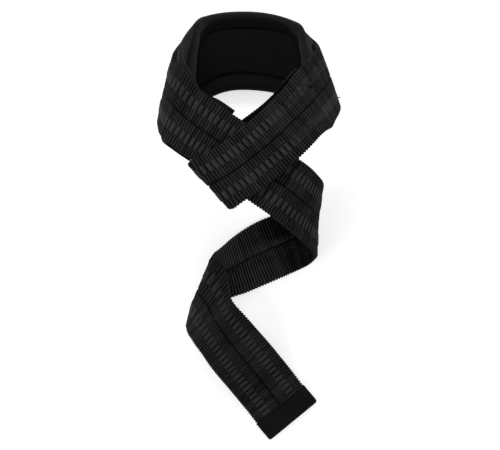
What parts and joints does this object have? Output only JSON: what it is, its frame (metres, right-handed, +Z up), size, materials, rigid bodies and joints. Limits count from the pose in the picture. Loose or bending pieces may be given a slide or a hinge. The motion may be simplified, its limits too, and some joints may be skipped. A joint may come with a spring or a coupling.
{
  "type": "weightlifting strap",
  "caption": "Padded wrist strap for weightlifting: a woven band looped through its own sewn eye round a soft wrist pad, with a long free tail that wraps the bar.",
  "frame": {"origin": "centre of the box round the whole strap, at the height of the table it lies on", "axes": "+Z up from the table, +Y from the free end towards the wrist loop, +X to the right seen from above"},
  "size_m": [0.1122, 0.2682, 0.0797],
  "materials": {
    "webbing": "matt woven cotton webbing, near black",
    "pad": "matt fabric over soft foam, near black",
    "binding": "smooth matt tape, near black"
  },
  "bodies": {
    "root": {"webbing_strap": "webbing", "wrist_pad": "pad", "end_binding": "binding"}
  },
  "joints": []
}
